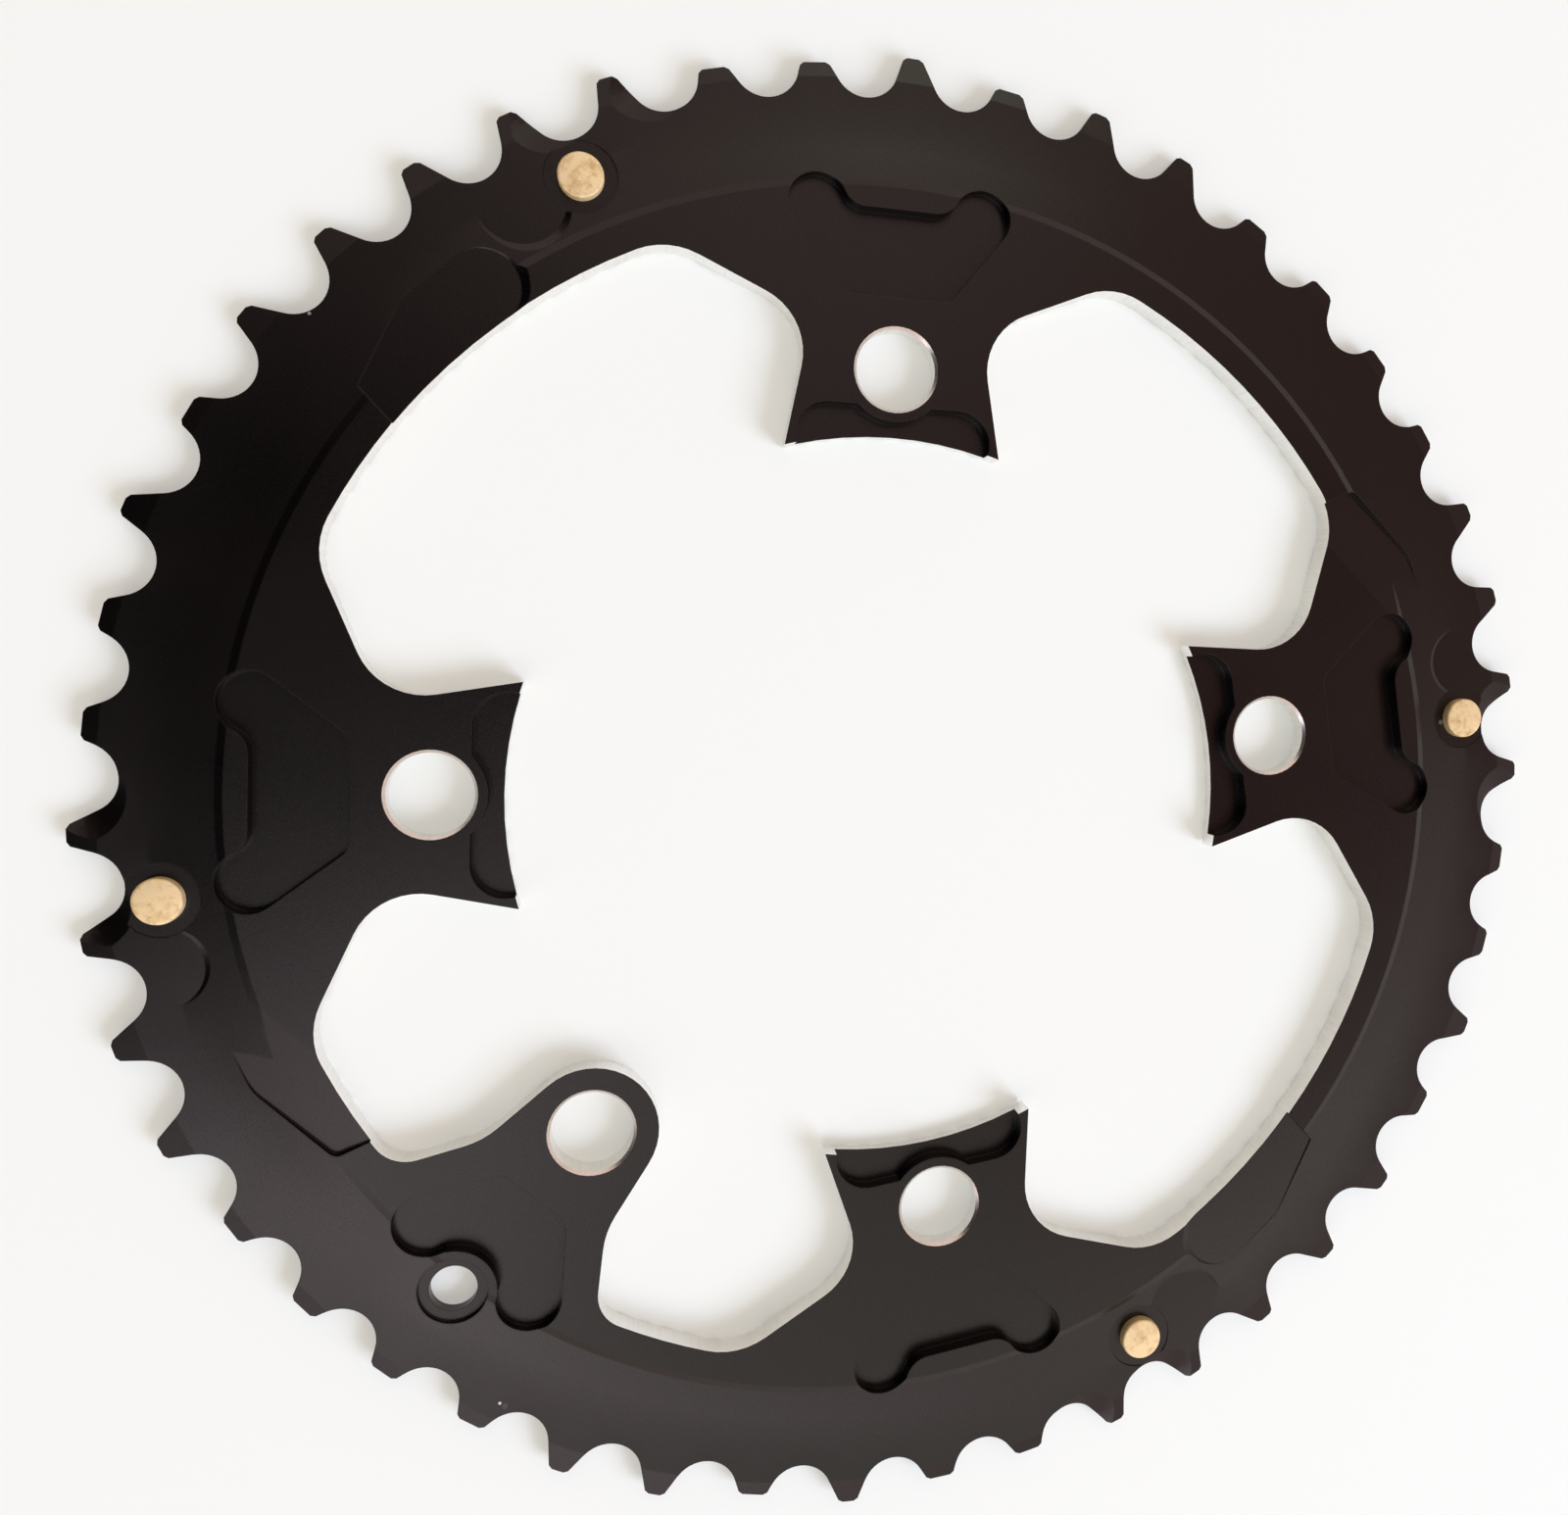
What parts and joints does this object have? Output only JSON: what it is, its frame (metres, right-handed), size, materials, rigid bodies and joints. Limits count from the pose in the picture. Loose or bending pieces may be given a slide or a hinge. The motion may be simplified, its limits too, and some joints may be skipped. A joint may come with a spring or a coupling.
{
  "type": "bicycle chainring",
  "caption": "Flat toothed outer chainring for a bicycle crank, with inward bolt tabs, pocketed tab roots, and shift ramps and riveted shift pins on its inner face.",
  "frame": {"origin": "centre of the ring, on the plane of its front face", "axes": "+Z out of the inner face, towards the bicycle; +X through the tab behind the crank arm; teeth numbered counter-clockwise seen from +Z"},
  "size_m": [0.186, 0.1886, 0.0041],
  "materials": {
    "anodised_ring": "bead-blasted and black anodised, satin",
    "pin_steel": "turned, plain"
  },
  "bodies": {
    "root": {"chainring": "anodised_ring", "shift_pin_1": "pin_steel", "shift_pin_2": "pin_steel", "shift_pin_3": "pin_steel", "shift_pin_4": "pin_steel"}
  },
  "joints": []
}
